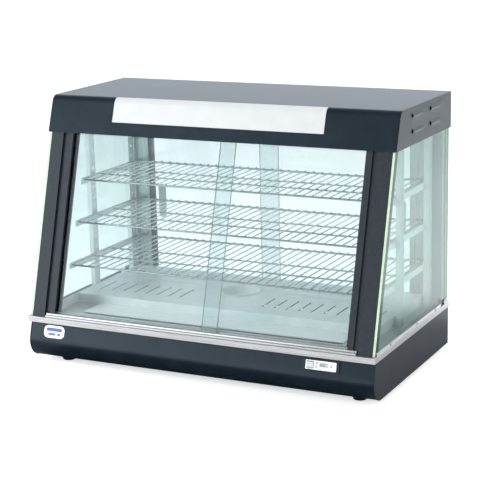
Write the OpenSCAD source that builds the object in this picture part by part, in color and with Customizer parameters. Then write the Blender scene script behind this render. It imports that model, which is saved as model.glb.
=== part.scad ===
// Counter-top hot food display case: a sloped glass front with two sliding
// panes, two sliding panes at the back, three wire shelves, a perforated deck
// with a water dish over a heater, and a lit hood. Millimetres, +Z up, the
// customer side faces -Y, and the origin is the middle of the footprint at the
// bottom of the feet.

/* [Overall] */
// Width over the stainless frame
case_w = 900; // [880:5:960]
// Depth over the stainless frame
case_d = 500; // [490:5:520]
// Height of the rubber feet
foot_h = 16; // [14:1:22]
// Height of the painted base between feet and frame
base_h = 94; // [90:1:102]
// Height of the stainless frame's edge
frame_h = 14; // [12:1:18]
// Height of the glass part between frame and hood
glass_h = 430; // [420:5:460]
// Height of the hood
hood_h = 86; // [80:1:100]

/* [Front] */
// Lean of the sloped front from the vertical, in degrees
front_lean = 16.3; // [15:0.1:17]
// Distance of the posts' front face behind the frame's front edge
post_setback = 9; // [8:1:12]
// Height of the lower rail above the frame
rail_h = 8; // [7:0.5:10]
// Radius of the base's lower front edge
base_r = 44; // [38:1:46]
// Radius of the hood's upper front edge
hood_r = 20; // [8:1:24]

/* [Sheet and glass] */
// Thickness of the painted and stainless sheet
sheet = 1.5; // [1:0.1:1.6]
// Thickness of the side glasses
side_t = 6; // [5:0.5:7]
// Thickness of the sliding panes
pane_t = 5; // [4:0.5:5]
// Overlap of the two front panes
front_overlap = 46; // [30:1:60]
// Overlap of the two back panes
back_overlap = 60; // [40:1:70]

/* [Shelves and deck] */
// Height of the top shelf's wires
top_shelf_z = 434; // [430:1:440]
// Distance between two shelves
shelf_step = 100; // [75:25:100]
// Diameter of the shelves' thin wires
wire_d = 3; // [2.5:0.5:3]
// Diameter of the shelves' frame wires
rim_d = 5; // [4:0.5:6]
// Distance between two thin wires
wire_pitch = 22.6; // [20:0.1:26]
// Distance between two holes in an upright
hole_pitch = 25; // [20:1:30]
// Height of the deck
deck_z = 148; // [144:1:150]
// Diameter of the water dish's hole in the deck
dish_d = 98; // [80:1:104]

/* [Hidden] */
$fn = 48;

z_base = foot_h;
z_skirt = foot_h + base_h;
z_frame = z_skirt + frame_h;
z_hood = z_frame + glass_h;
z_top = z_hood + hood_h;
y_front = -case_d/2;
y_back = case_d/2;
x_side = case_w/2;

// the leaning plane of the front, as y for a height z
lean = tan(front_lean);
function lean_y(z) = y_front + post_setback + (z - z_frame)*lean;

// side glass, posts and tracks, as distances from the middle plane
glass_x = x_side - 9;
post_flat_w = 34;
post_in_x = glass_x - 62;
rail_x = glass_x - 38;
pane_x = glass_x - 49;
track_1 = [8, 17];
track_2 = [19, 30];
pane_run = pane_t/cos(front_lean);
post_top = z_hood + 10;
pane_z0 = z_frame + 2.5;
pane_z1 = z_hood + 18;

// back doors
back_y = y_back - 42;
back_track_1 = [2, 15];
back_track_2 = [17, 34];
rear_post_x = glass_x - 38;
rear_in_x = glass_x - 79;

// uprights, arms and shelves
up_x = glass_x - 35;
up_w = 24;
up_d = 12;
up_front_y = 6;
up_back_y = 195;
up_z0 = z_frame;
up_z1 = z_hood + 2.5;
hole_r = 3;
arm_t = 2;
arm_h = 15;
arm_lip = 10;
shelf_x = up_x - 8;
shelf_back_y = 208;
shelf_front_y = [-135, -98, -64];
function shelf_z(i) = top_shelf_z - (2 - i)*shelf_step;
function rim_z(i) = shelf_z(i) - wire_d/2 - rim_d/2 + 0.4;
function pin_z(i) = shelf_z(i) - 15;

// base outline
arc_n = 14;
face_r = base_r - 1;
arc_c = [y_front + base_r, z_base + base_r];
base_top = z_frame - sheet;
base_back = y_back - sheet;
end_x = x_side - 2;
end_t = 3;
function arc(c, r, a0, a1, n) =
    [for (i = [0:n]) c + r*[cos(a0 + (a1 - a0)*i/n), sin(a0 + (a1 - a0)*i/n)]];
function face_y(z, r) = arc_c[0] - r/cos(front_lean) + (z - arc_c[1])*lean;
function front_outline(r, z1) = concat(arc(arc_c, r, 270, 180 - front_lean, arc_n), [[face_y(z1, r), z1]]);

// hood outline
hood_y0 = y_front + 132;
hood_y1 = y_front + 161.5;
hood_a = atan((hood_y1 - hood_y0)/hood_h);
hood_end_t = 2;
sign_x = 274;
sign_z = z_hood + 30;
function hood_line(z) = hood_y0 + (z - z_hood)*tan(hood_a);
function hood_outline(off, z0) =
    let (r = hood_r - off, c_z = z_top - hood_r,
         c_y = hood_line(z_top) + hood_r*(1 - sin(hood_a))/cos(hood_a))
    concat([[hood_line(z0) + off/cos(hood_a), z0]], arc([c_y, c_z], r, 180 - hood_a, 90, arc_n));

// deck
deck_x = up_x - 6;
deck_y0 = -100;
deck_y1 = 226;
dish_c = [-30, 68];
dish_h = 21;
slot_w = 4;
slot_pitch = 32;

// controls
ctrl_x = 320;
ctrl_z = z_base + 74;
badge_x = -380;
badge_z = z_base + 72;

// ---------------------------------------------------------------- helpers

// an outline in y and z, carried along x
module along_x(points, x0, x1) {
    translate([x0, 0, 0]) rotate([90, 0, 90]) linear_extrude(x1 - x0) polygon(points);
}

// a bar parallel to the sloped front, s0 to s1 behind its plane
module leaned(x0, x1, s0, s1, z0, z1) {
    along_x([[lean_y(z0) + s0, z0], [lean_y(z0) + s1, z0],
             [lean_y(z1) + s1, z1], [lean_y(z1) + s0, z1]], x0, x1);
}

// a box between two corners
module box(lo, hi) {
    translate(lo) cube(hi - lo);
}

// local frame on the sloped face of the base: x along, y up the face, z outwards
module on_face(x, z) {
    translate([x, face_y(z, face_r), z]) rotate([90 - front_lean, 0, 0]) children();
}

// both sides
module both() {
    children();
    mirror([1, 0, 0]) children();
}

function rounded(w, h, r) = concat(
    arc([w/2 - r, h/2 - r], r, 0, 90, 6), arc([r - w/2, h/2 - r], r, 90, 180, 6),
    arc([r - w/2, r - h/2], r, 180, 270, 6), arc([w/2 - r, r - h/2], r, 270, 360, 6));

// a rounded rectangular plate from z0 to z1 in the local frame
module pad(w, h, r, z0, z1) {
    translate([0, 0, z0]) linear_extrude(z1 - z0) polygon(rounded(w, h, r));
}

// a round bar along x
module bar_x(x0, x1, y, z, d, sides = 24) {
    translate([x0, y, z]) rotate([0, 90, 0]) cylinder(d = d, h = x1 - x0, $fn = sides);
}

// a round bar along y
module bar_y(y0, y1, x, z, d, sides = 24) {
    translate([x, y0, z]) rotate([-90, 0, 0]) cylinder(d = d, h = y1 - y0, $fn = sides);
}

// ---------------------------------------------------------------- base

// rolled front sheet, with a stepped lip along the bottom that laps over the floor
module base_front() {
    z0 = z_base + 1;
    y_lip = floor_y0 - 0.3;
    outer = concat([[y_lip + 11, z0 + sheet], [y_lip, z0 + sheet], [y_lip, z0]],
        front_outline(face_r, base_top));
    inner = concat([[y_lip + 11, z0 + 2*sheet], [y_lip - sheet, z0 + 2*sheet], [y_lip - sheet, z0 + sheet]],
        front_outline(face_r - sheet, base_top));
    m = len(inner) - 1;
    color("#4a525a") difference() {
        along_x(concat(outer, [for (i = [0:m]) inner[m - i]]), end_t - end_x, end_x - end_t);
        on_face(ctrl_x, ctrl_z) pad(80, 19, 2, -8, 8);
    }
}

// floor panel with air slots, and holes for the feet's screws and the gland
floor_y0 = -193.7;

module base_floor() {
    color("#3f464d") difference() {
        box([end_t - end_x, floor_y0, z_base + 1], [end_x - end_t, base_back - sheet, z_base + 1 + sheet]);
        translate([gland_x, gland_y, z_base - 5]) cylinder(r = 8.05, h = 12);
        for (x = [-385, 385], y = [-175, 190]) translate([x, y, z_base - 5]) cylinder(r = 3.1, h = 12);
        for (x = [-300:60:300], y = [-60:30:60]) translate([x - 18, y - 2, z_base - 5]) cube([36, 4, 12]);
    }
}

// flat end of the base, 1 mm proud of the folded front
module base_end() {
    outline = concat([[base_back, z_base]], front_outline(base_r, base_top), [[base_back, base_top]]);
    color("#3d4048") along_x(outline, end_x - end_t, end_x);
}

module base_end_right() {
    base_end();
}

module base_end_left() {
    mirror([1, 0, 0]) base_end();
}

module base_back_panel() {
    color("#3a3f46") difference() {
        box([-end_x + end_t, base_back - sheet, z_base + 1], [end_x - end_t, base_back, base_top]);
        for (x = [-240:60:240], z = [0:12:48])
            translate([x - 20, base_back - 5, z_base + 18 + z]) cube([40, 10, 4]);
        for (x = back_screw_x, z = back_screw_z)
            translate([x, base_back + 5, z]) rotate([90, 0, 0]) cylinder(r = 2.1, h = 12);
    }
}

gland_x = 360;
gland_y = 130;
gland_r = 4.5;
back_screw_x = [-420, 0, 420];
back_screw_z = [z_base + 12, z_base + 78];

// cable gland through the floor with its lock nut, the supply cord's way in
module cable_gland() {
    color("#1c1d1f") translate([gland_x, gland_y, z_base + 1]) rotate([180, 0, 0]) difference() {
        union() {
            translate([0, 0, -12]) cylinder(r = 8, h = 16);
            translate([0, 0, -5 - sheet]) cylinder(r = 12, h = 5, $fn = 6);
            cylinder(r = 12, h = 5, $fn = 6);
            translate([0, 0, 4]) cylinder(r1 = 10, r2 = 7.5, h = 7);
        }
        translate([0, 0, -13]) cylinder(r = gland_r, h = 30);
    }
}

// pan head with its shank, along +y from the outside
module screw_y(head_r, head_h, shank_r, shank_l) {
    rotate([-90, 0, 0]) {
        cylinder(r1 = head_r, r2 = head_r*0.75, h = head_h);
        translate([0, 0, -shank_l]) cylinder(r = shank_r, h = shank_l + 0.1);
    }
}

module back_screws() {
    color("#8c9094") for (x = back_screw_x, z = back_screw_z)
        translate([x, base_back, z]) screw_y(4, y_back - base_back, 2, 7);
}

module foot_pads() {
    color("#141414") for (x = [-385, 385], y = [-175, 190]) translate([x, y, 0]) difference() {
        union() {
            cylinder(r1 = 15, r2 = 18, h = 4);
            translate([0, 0, 4]) cylinder(r = 18, h = foot_h - 3);
        }
        translate([0, 0, 8]) cylinder(r = 3, h = 30);
    }
}

module foot_screws() {
    color("#9a9da0") for (x = [-385, 385], y = [-175, 190]) translate([x, y, 0]) {
        translate([0, 0, 8]) cylinder(r = 2.9, h = z_base - 5);
        translate([0, 0, z_base + 1 + sheet]) cylinder(r = 6, h = 4, $fn = 6);
    }
}

// ---------------------------------------------------------------- frame and rails

slot_y0 = -180;
ledge_y0 = -172;

// stainless pan that closes the base: a plate with a folded edge, a well under
// the deck and a warm-air slot behind the front panes
module top_frame() {
    color("#b9bcc0") difference() {
        box([-x_side, y_front, z_skirt], [x_side, y_back, z_frame]);
        box([sheet - x_side, y_front + sheet, z_skirt - 1],
            [x_side - sheet, y_back - sheet, z_frame - sheet]);
        box([-392, deck_y0 + 2, z_frame - 5], [392, back_y - 10, z_frame + 1]);
        box([-335, slot_y0, z_frame - 5], [345, ledge_y0, z_frame + 1]);
    }
}

// extruded double rail for the front panes
module front_rail() {
    z1 = z_frame + rail_h;
    color("#c6c8ca") union() {
        leaned(-rail_x, rail_x, -4, 32, z_frame, z_frame + 2);
        leaned(-rail_x, rail_x, -4, 2, z_frame, z_frame + 4);
        leaned(-rail_x, rail_x, 1, track_1[0], z_frame, z1);
        leaned(-rail_x, rail_x, track_1[1], track_2[0], z_frame, z1);
        leaned(-rail_x, rail_x, track_2[1], 32, z_frame, z1);
    }
}

module rear_rail() {
    z1 = z_frame + rail_h;
    color("#c6c8ca") union() {
        box([-rear_post_x, back_y, z_frame], [rear_post_x, back_y + 36, z_frame + 2]);
        for (y = [[0, back_track_1[0]], [back_track_1[1], back_track_2[0]], [back_track_2[1], 36]])
            box([-rear_post_x, back_y + y[0], z_frame], [rear_post_x, back_y + y[1], z1]);
    }
}

// stainless beads that hold the feet of the side glasses
bead_t = 1.8;
bead_h = 7;
bead_y0 = y_front + 16;
bead_y1 = y_back - 60;
bead_screw_y = [-151, 20, 150];

module side_beads() {
    color("#c9cbce") both() difference() {
        box([glass_x + side_t, bead_y0, z_frame], [glass_x + side_t + bead_t, bead_y1, z_frame + bead_h]);
        for (y = bead_screw_y)
            translate([glass_x, y, z_frame + 3.5]) rotate([0, 90, 0]) cylinder(r = 1.6, h = 20);
    }
}

module bead_screws() {
    color("#dfe1e3") both() for (y = bead_screw_y)
        translate([glass_x + side_t, y, z_frame + 3.5]) rotate([0, 90, 0]) {
            cylinder(r = 1.5, h = bead_t + 0.1);
            translate([0, 0, bead_t]) cylinder(r1 = 3, r2 = 2.2, h = 1.8);
        }
}

// rounded clamp at the back foot of each side glass, with its screw head
module glass_clamps() {
    color("#d5d7d9") both() translate([glass_x + side_t, y_back - 34, z_frame]) {
        translate([0, 0, 6]) rotate([0, 90, 0]) cylinder(r = 6, h = 3.5);
        translate([0, 0, 0]) cube([3.5, 18, 12]);
        translate([0, 9, 6]) rotate([0, 90, 0]) cylinder(r = 3.2, h = 5);
    }
}

// ---------------------------------------------------------------- deck

module deck_plate() {
    slots_right = [for (i = [0:9]) dish_c[0] + 112 + i*slot_pitch];
    slots_left = [for (i = [0:7]) dish_c[0] - 112 - i*slot_pitch];
    color("#c3c8c8") difference() {
        union() {
            box([-deck_x, deck_y0, deck_z - sheet], [deck_x, deck_y1 - 22, deck_z]);
            box([-deck_x, deck_y0, z_frame], [deck_x, deck_y0 + sheet, deck_z]);
            box([-deck_x + 12, 79, deck_z - 1], [dish_c[0] - 60, 83, deck_z + 0.8]);
            box([dish_c[0] + 60, 79, deck_z - 1], [deck_x - 12, 83, deck_z + 0.8]);
        }
        translate([dish_c[0], dish_c[1], deck_z - 10]) cylinder(d = dish_d, h = 20);
        for (x = concat(slots_right, slots_left)) {
            translate([x - slot_w/2, -46, deck_z - 5]) cube([slot_w, 76, 10]);
            translate([x - 18 - slot_w/2, 116, deck_z - 5]) cube([slot_w, 62, 10]);
        }
    }
}

// angles along the sides that carry the deck
module deck_ledges() {
    color("#c3c8c8") both() union() {
        box([deck_x, -172, z_frame], [deck_x + sheet, 204, deck_z]);
        box([deck_x - 10, -95, deck_z - 2*sheet], [deck_x + sheet, 192, deck_z - sheet]);
    }
}

// bright strip in front of the deck
module front_ledge() {
    color("#f2f3f3") difference() {
        box([-335, ledge_y0, z_frame], [345, deck_y0, z_frame + 3]);
        box([-335 + sheet, ledge_y0 + sheet, z_frame - 1],
            [345 - sheet, deck_y0 - sheet, z_frame + 3 - sheet]);
    }
}

// round dish, hung by its rim in the deck's hole
module water_dish() {
    color("#b7bcbd") translate([dish_c[0], dish_c[1], deck_z]) rotate_extrude($fn = 96)
        polygon([[0, -dish_h], [38, -dish_h], [dish_d/2 - 1.2, -4], [dish_d/2 - 1.2, 0.3],
                 [dish_d/2 + 5, 0.3], [dish_d/2 + 5, 1.3], [dish_d/2 - 2.2, 1.3],
                 [dish_d/2 - 2.2, -3.6], [37.5, 1 - dish_h], [0, 1 - dish_h]]);
}

// ---------------------------------------------------------------- heater and electrics

heat_z = 108;
heat_r = 62;
heat_d = 9;
heat_x = 320;

module heating_element() {
    color("#6d6a66") translate([0, 64, heat_z]) union() {
        for (y = [-heat_r, heat_r]) bar_x(-heat_x, heat_x, y, 0, heat_d);
        translate([-heat_x, 0, 0]) intersection() {
            rotate_extrude($fn = 72) translate([heat_r, 0]) circle(d = heat_d, $fn = 24);
            translate([-100, -100, -20]) cube([100, 200, 40]);
        }
    }
}

// cross bars that carry the element under the well
module heater_brackets() {
    lo = heat_z - heat_d/2 - 2;
    y0 = deck_y0 - 8;
    y1 = back_y - 2;
    color("#9ea2a5") for (x = [-240, 0, 240]) difference() {
        union() {
            box([x - 8, y0, lo], [x + 8, y1, lo + 2]);
            box([x - 8, y0, lo], [x + 8, y0 + 2, z_frame - sheet]);
            box([x - 8, y1 - 2, lo], [x + 8, y1, z_frame - sheet]);
        }
        for (y = [-30, 158]) translate([x, y, lo - 1]) cylinder(r = 2.5, h = 5);
    }
}

// sensing bulb of the thermostat, in its clip under the deck
module thermostat_bulb() {
    color("#b87333") union() {
        bar_x(190, 275, 99, deck_z - 10, 7);
        box([225, 95, deck_z - 12], [240, 103, deck_z - sheet]);
    }
}

module terminal_block() {
    color("#d8d4c4") translate([230, 165, z_base + 1 + sheet]) difference() {
        cube([66, 24, 18]);
        for (i = [0:4]) {
            translate([9 + i*12, 6, 6]) cylinder(r = 2.5, h = 20);
            translate([9 + i*12, 18, 6]) cylinder(r = 2.5, h = 20);
        }
    }
}

module control_board() {
    color("#2f6b45") on_face(ctrl_x, ctrl_z) union() {
        translate([-46, -14, -24]) cube([92, 32, 1.6]);
        translate([-30, -8, -40]) cube([26, 18, 16.1]);
        translate([6, -6, -36]) cube([30, 14, 12.1]);
    }
}

// ---------------------------------------------------------------- control panel

panel_w = 89;
panel_h = 25;
rocker_x = -26;
rocker_w = 17;
rocker_h = 14;
rocker_pivot = -2;
button_x = -11;
button_y = 4.4;
button_r = 2.8;

module control_bezel() {
    color("#1d2125") on_face(ctrl_x, ctrl_z) difference() {
        union() {
            pad(panel_w, panel_h, 4, 0.1, 2.6);
            pad(78, 18, 1.5, -10, 0.2);
        }
        pad(74, 21, 2, 1.4, 5);
        pad(72, 16.8, 1, -12, 3);
    }
}

module control_face() {
    color("#f4f5f5") on_face(ctrl_x, ctrl_z) difference() {
        pad(73.6, 20.6, 1.8, 1.4, 2.4);
        translate([rocker_x, 0, 0]) pad(rocker_w + 1.2, rocker_h + 2.2, 0.5, 0, 5);
        for (s = [-1, 1]) translate([button_x, s*button_y, 0]) cylinder(r = button_r + 0.35, h = 6);
        translate([25, 0, 0]) cylinder(r = 2.05, h = 6);
    }
}

module display_window() {
    color("#20252a") on_face(ctrl_x, ctrl_z) translate([7, 1.5, 0]) pad(22, 10, 1, 2.4, 2.9);
}

// rocker that tips about its middle
module power_switch() {
    h = rocker_h/2;
    color("#eceeee") on_face(ctrl_x, ctrl_z) translate([rocker_x, 0, rocker_pivot])
        along_x([[-h + 1.5, -4], [h - 1.5, -4], [h, 4.5], [h - 0.5, 6.4],
                 [0, 5.4], [-h + 0.5, 6.4], [-h, 4.5]], -rocker_w/2, rocker_w/2);
}

module button(s) {
    color("#c9ced2") on_face(ctrl_x, ctrl_z) translate([button_x, s*button_y, -1]) union() {
        cylinder(r = button_r, h = 5);
        cylinder(r = button_r + 0.7, h = 1);
    }
}

module up_button() {
    button(1);
}

module down_button() {
    button(-1);
}

module indicator_lens() {
    color("#d22b2b") on_face(ctrl_x, ctrl_z) translate([25, 0, 0.5]) union() {
        cylinder(r = 2, h = 2.1);
        translate([0, 0, 2]) cylinder(r1 = 2, r2 = 1.2, h = 0.8);
    }
}

module badge_plate() {
    color("#f3f5f8") on_face(badge_x, badge_z) pad(57, 30, 11, 0, 0.8);
}

// ---------------------------------------------------------------- posts and glass

// extruded post at the right end of the front: a hollow flat bar outside, and
// lips that take the edges of both panes
module front_post() {
    x1 = glass_x;
    x0 = glass_x - post_flat_w;
    lip_z0 = z_frame + rail_h + 1;
    color("#2a2f34") difference() {
        union() {
            leaned(x0, x1, 0, 34, z_frame, post_top);
            leaned(x0 - 14, x0 + 1, 6, track_1[0], lip_z0, post_top);
            leaned(x0 - 27, x0 - 13, 1.5, track_1[0], lip_z0, post_top);
            leaned(x0 - 35, x0 + 1, track_1[1], track_2[0], lip_z0, post_top);
            leaned(post_in_x, x0 + 1, track_2[1], 32, lip_z0, post_top);
        }
        leaned(x0 + 2, x1 - 2, 2, 32, z_frame - 1, post_top + 1);
    }
}

module front_post_right() {
    front_post();
}

module front_post_left() {
    mirror([1, 0, 0]) front_post();
}

// extruded post at the right end of the back opening
module rear_post() {
    x1 = rear_post_x;
    z0 = z_frame + rail_h + 1;
    z1 = post_top;
    color("#8c9898") union() {
        box([x1 - 5, back_y, z0], [x1, back_y + 36, z1]);
        box([rear_in_x, back_y, z0], [x1, back_y + back_track_1[0], z1]);
        box([rear_in_x + 10, back_y + back_track_1[1], z0], [x1, back_y + back_track_2[0], z1]);
        box([rear_in_x, back_y + back_track_2[1], z0], [x1, back_y + 36, z1]);
    }
}

module rear_post_right() {
    rear_post();
}

module rear_post_left() {
    mirror([1, 0, 0]) rear_post();
}

// stainless angles between the back posts and the side glasses
module rear_flanges() {
    color("#c9d2d4") both() union() {
        box([rear_post_x, back_y + 34.5, z_frame], [glass_x - 0.2, back_y + 36, z_hood + 2.5]);
        box([glass_x - 1.7, back_y + 12, z_frame], [glass_x - 0.2, back_y + 36, z_hood + 2.5]);
    }
}

module side_glass() {
    z1 = z_hood + 8;
    color("#bfe0d8", 0.35) along_x([[lean_y(z_frame), z_frame], [y_back - 6, z_frame],
        [y_back - 6, z1], [lean_y(z1), z1]], glass_x, glass_x + side_t);
}

module side_glass_right() {
    side_glass();
}

module side_glass_left() {
    mirror([1, 0, 0]) side_glass();
}

// the left pane runs in the outer track, the right one in the inner track
front_mid = 31;

module front_pane_left() {
    s = track_1[0] + 2;
    x1 = front_mid + front_overlap/2;
    color("#cfe4df", 0.3) leaned(-pane_x, x1, s, s + pane_run, pane_z0, pane_z1);
}

module front_pane_right() {
    s = track_2[0] + 3;
    x0 = front_mid - front_overlap/2;
    color("#cfe4df", 0.3) leaned(x0, pane_x, s, s + pane_run, pane_z0, pane_z1);
}

back_mid = -20;
pane_back_1 = back_y + 6;
pane_back_2 = back_y + 23;

module rear_pane_left() {
    x1 = back_mid + back_overlap/2;
    color("#cfe4df", 0.3) box([-pane_x, pane_back_1, pane_z0], [x1, pane_back_1 + pane_t, pane_z1]);
}

module rear_pane_right() {
    x0 = back_mid - back_overlap/2;
    color("#cfe4df", 0.3) box([x0, pane_back_2, pane_z0], [pane_x, pane_back_2 + pane_t, pane_z1]);
}

// shallow finger pull stuck on the staff side of a back pane
module pull(x, y) {
    color("#e3e8e8") translate([x, y, z_frame + 200]) rotate([-90, 0, 0]) rotate([0, 0, 90]) difference() {
        pad(90, 22, 10, 0, 4.5);
        pad(78, 12, 5, 1.5, 6);
    }
}

module rear_pull_left() {
    pull(-330, pane_back_1 + pane_t);
}

module rear_pull_right() {
    pull(330, pane_back_2 + pane_t);
}

// ---------------------------------------------------------------- uprights and shelves

// folded channel with a row of round holes, open towards the side glass
module upright(y) {
    holes = floor((up_z1 - pin_z(0) - 10)/hole_pitch) + 3;
    color("#c2cac9") difference() {
        box([up_x, y - up_w/2, up_z0], [up_x + up_d, y + up_w/2, up_z1]);
        box([up_x + sheet, y - up_w/2 + sheet, up_z0 - 1], [up_x + up_d + 1, y + up_w/2 - sheet, up_z1 + 1]);
        for (i = [0:holes - 1])
            translate([up_x - 1, y, pin_z(0) + (i - 2)*hole_pitch])
                rotate([0, 90, 0]) cylinder(r = hole_r, h = 4, $fn = 24);
    }
}

module uprights_right() {
    for (y = [up_front_y, up_back_y]) upright(y);
}

module uprights_left() {
    mirror([1, 0, 0]) uprights_right();
}

// angle bars hooked into the uprights, one pair under each shelf
module arm(i) {
    z1 = rim_z(i) - rim_d/2 - 0.3;
    y0 = shelf_front_y[i] + 12;
    y1 = up_back_y + 6;
    union() {
        box([up_x - arm_t, y0, z1 - arm_h], [up_x, y1, z1]);
        box([up_x - arm_lip - arm_t, y0, z1 - arm_t], [up_x, y1, z1]);
        for (y = [up_front_y, up_back_y])
            translate([up_x - 1, y, pin_z(i)]) rotate([0, 90, 0]) cylinder(r = 2.7, h = 8, $fn = 24);
    }
}

module shelf_arms() {
    color("#9aa5a3") both() for (i = [0:2]) arm(i);
}

// wire shelf: a rim and two cross wires below, thin wires from front to back on top
module shelf(i) {
    y0 = shelf_front_y[i];
    y1 = shelf_back_y - 6;
    x1 = shelf_x;
    z_wire = shelf_z(i) - wire_d/2;
    z_rim = rim_z(i);
    n = floor((2*x1 - 16)/wire_pitch/2);
    cross_y = [y0, y0 + 0.3*(y1 - y0), y0 + 0.55*(y1 - y0), y1];
    color("#a9b1b0") union() {
        for (y = cross_y) bar_x(-x1, x1, y, z_rim, rim_d - 0.7, 8);
        for (x = [-x1, x1]) bar_y(y0 - 1, y1 + 1, x, z_rim, rim_d, 8);
        for (k = [-n:n]) bar_y(y0 - 0.5, y1 + 0.5, k*wire_pitch, z_wire, wire_d, 8);
    }
}

module shelf_top() {
    shelf(2);
}

module shelf_middle() {
    shelf(1);
}

module shelf_bottom() {
    shelf(0);
}

// ---------------------------------------------------------------- hood

// one folded sheet: sloped front, rounded edge, top and back
module hood_shell() {
    outer = concat(hood_outline(0, z_hood), [[y_back, z_top], [y_back, z_hood]]);
    inner = concat([[y_back - sheet, z_hood], [y_back - sheet, z_top - sheet]],
        [for (i = [0:arc_n + 1]) hood_outline(sheet, z_hood)[arc_n + 1 - i]]);
    color("#39434b") difference() {
        along_x(concat(outer, inner), -x_side + hood_end_t, x_side - hood_end_t);
        box([-sign_x + 8, hood_y0 - 10, sign_z + 8], [sign_x - 8, hood_line(z_top) + 4, z_top - 16]);
    }
}

// flat end with four pressed air scoops that open towards the front
scoop_r = 7;
scoop_l = 64;
scoop_y = [-18, 102];
scoop_z = [z_hood + 31, z_hood + 66];
scoop_in = 4;

module hood_end() {
    outline = concat(hood_outline(0, z_hood), [[y_back, z_top], [y_back, z_hood]]);
    x1 = x_side;
    color("#5d6870") difference() {
        union() {
            along_x(outline, x1 - hood_end_t, x1);
            for (y = scoop_y, z = scoop_z) translate([x1 - scoop_in, y, z]) rotate([-90, 0, 0])
                cylinder(r = scoop_r, h = scoop_l);
        }
        box([x1 - 30, y_front, z_hood - 10], [x1 - hood_end_t, y_back + 10, z_top + 10]);
        for (y = scoop_y, z = scoop_z) translate([x1 - scoop_in, y - 1, z]) rotate([-90, 0, 0])
            cylinder(r = scoop_r - 1.2, h = scoop_l - 1);
    }
}

module hood_end_right() {
    hood_end();
}

module hood_end_left() {
    mirror([1, 0, 0]) hood_end();
}

// white panel that closes the hood from below
module ceiling_panel() {
    z0 = z_hood + 2.5;
    y0 = lean_y(z0) + 36;
    color("#e6ebea") difference() {
        box([-glass_x + 1, y0, z0], [glass_x - 1, back_y - 1, z0 + sheet]);
        box([-300, 40, z0 - 1], [300, 76, z0 + 5]);
    }
}

// plain lit panel, bent over the hood's rounded edge
module sign_panel() {
    out = [for (i = [1:arc_n - 2]) hood_outline(-1.2, sign_z)[i]];
    back = [for (i = [1:arc_n - 2]) hood_outline(0, sign_z)[arc_n - 1 - i]];
    outline = concat([hood_outline(-1.2, sign_z)[0]], out, back, [hood_outline(0, sign_z)[0]]);
    color("#f7f8f8") along_x(outline, -sign_x, sign_x);
}

lamp_y = 58;
lamp_z = z_hood + 34;

module lamp_tube() {
    color("#fbfbf4") union() {
        bar_x(-292, 292, lamp_y, lamp_z, 26);
        for (s = [-1, 1], d = [-6, 6]) bar_x(s*296 - 6, s*296 + 6, lamp_y + d, lamp_z, 2.4);
    }
}

module lamp_holders() {
    color("#e9e9e4") both() difference() {
        box([293, lamp_y - 14, z_hood + 4], [311, lamp_y + 14, lamp_z + 16]);
        for (d = [-6, 6]) bar_x(292, 303, lamp_y + d, lamp_z, 3);
    }
}

// tracks in the hood that guide the panes' upper edges
module upper_front_track() {
    z0 = post_top + 1;
    z1 = z0 + 16;
    color("#1f2326") union() {
        leaned(-rail_x, rail_x, 3, 32, z1 - 2, z1);
        leaned(-rail_x, rail_x, 3, track_1[0], z0, z1);
        leaned(-rail_x, rail_x, track_1[1], track_2[0], z0, z1);
        leaned(-rail_x, rail_x, track_2[1], 32, z0, z1);
    }
}

module upper_rear_track() {
    z0 = post_top + 1;
    z1 = z0 + 16;
    color("#1f2326") union() {
        box([-rear_post_x, back_y, z1 - 2], [rear_post_x, back_y + 36, z1]);
        for (y = [[0, back_track_1[0]], [back_track_1[1], back_track_2[0]], [back_track_2[1], 36]])
            box([-rear_post_x, back_y + y[0], z0], [rear_post_x, back_y + y[1], z1]);
    }
}

base_front();
base_floor();
base_end_left();
base_end_right();
base_back_panel();
cable_gland();
back_screws();
foot_pads();
foot_screws();
top_frame();
front_rail();
rear_rail();
side_beads();
bead_screws();
glass_clamps();
deck_plate();
deck_ledges();
front_ledge();
water_dish();
heating_element();
heater_brackets();
thermostat_bulb();
terminal_block();
control_board();
control_bezel();
control_face();
display_window();
power_switch();
up_button();
down_button();
indicator_lens();
badge_plate();
front_post_left();
front_post_right();
rear_post_left();
rear_post_right();
rear_flanges();
side_glass_left();
side_glass_right();
front_pane_left();
front_pane_right();
rear_pane_left();
rear_pane_right();
rear_pull_left();
rear_pull_right();
uprights_left();
uprights_right();
shelf_arms();
shelf_top();
shelf_middle();
shelf_bottom();
hood_shell();
hood_end_left();
hood_end_right();
ceiling_panel();
sign_panel();
lamp_tube();
lamp_holders();
upper_front_track();
upper_rear_track();
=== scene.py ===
import math

import bmesh
import bpy
import numpy as np
from mathutils import Matrix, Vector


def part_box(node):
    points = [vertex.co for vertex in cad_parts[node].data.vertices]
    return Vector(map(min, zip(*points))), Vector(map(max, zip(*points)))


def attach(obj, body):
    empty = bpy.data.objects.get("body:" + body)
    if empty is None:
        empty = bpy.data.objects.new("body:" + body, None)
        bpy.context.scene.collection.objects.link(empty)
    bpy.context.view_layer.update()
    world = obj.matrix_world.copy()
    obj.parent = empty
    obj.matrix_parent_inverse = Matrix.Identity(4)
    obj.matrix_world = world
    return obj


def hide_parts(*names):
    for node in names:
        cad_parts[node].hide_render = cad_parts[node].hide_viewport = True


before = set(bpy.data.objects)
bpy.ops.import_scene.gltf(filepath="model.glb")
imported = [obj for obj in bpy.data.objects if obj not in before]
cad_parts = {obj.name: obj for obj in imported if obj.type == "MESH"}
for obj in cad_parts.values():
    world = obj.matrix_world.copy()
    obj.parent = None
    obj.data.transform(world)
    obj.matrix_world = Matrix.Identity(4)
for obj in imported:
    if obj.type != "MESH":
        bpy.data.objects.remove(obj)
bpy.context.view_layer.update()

# ---------------------------------------------------------------- camera
# A long lens stands to the right of the front and a little above the case, and
# leans a little to one side.
yaw, pitch, roll = math.radians(26.64), math.radians(13.43), math.radians(-1.366)
camera_place = (1.58305, -3.14518, 1.13492)
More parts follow.
